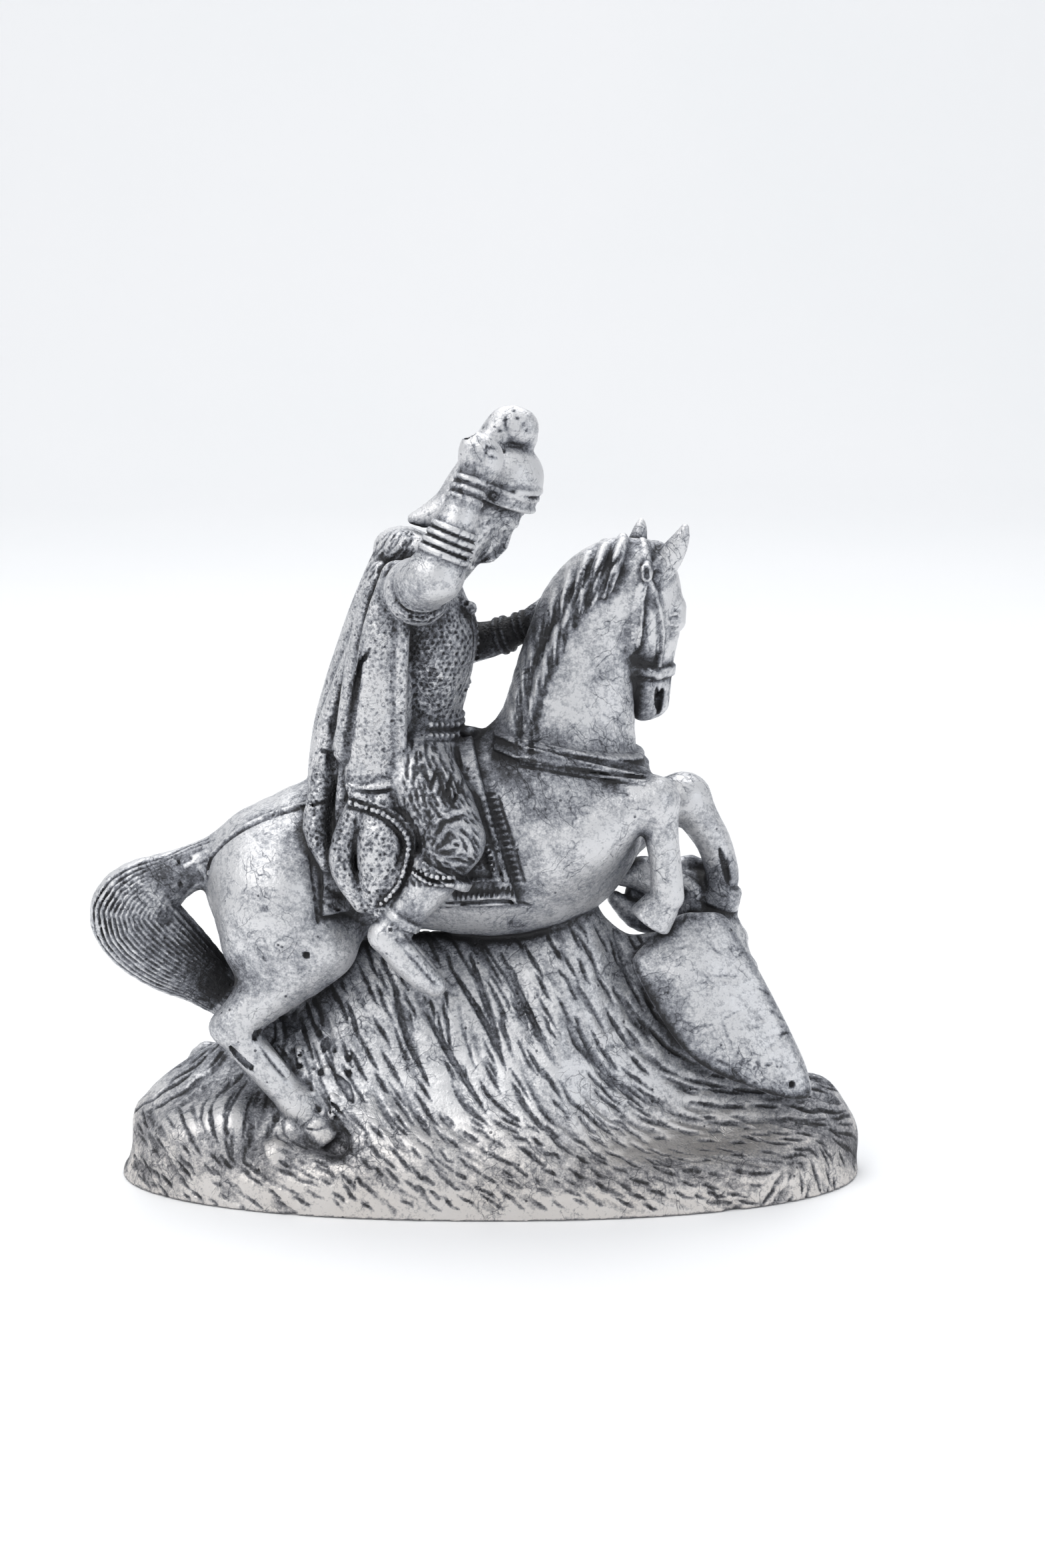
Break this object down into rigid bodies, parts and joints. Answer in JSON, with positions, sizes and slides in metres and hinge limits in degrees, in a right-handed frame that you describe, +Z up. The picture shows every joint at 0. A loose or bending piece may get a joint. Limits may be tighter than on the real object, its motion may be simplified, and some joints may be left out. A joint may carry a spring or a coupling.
{
  "type": "equestrian statuette",
  "caption": "Cast metal statuette of a cloaked warrior on a rearing horse above a beast, on an oval grassy base.",
  "frame": {"origin": "middle of the whole figure's box, on the plane of the flat underside", "axes": "+Z up; +X the way the horse faces, along the base's length; -Y the side the picture shows"},
  "size_m": [0.3338, 0.1322, 0.3368],
  "materials": {
    "cast_metal": "worn satin silver-grey casting, with dark patina in every recess"
  },
  "bodies": {
    "root": {"statuette": "cast_metal"}
  },
  "joints": []
}
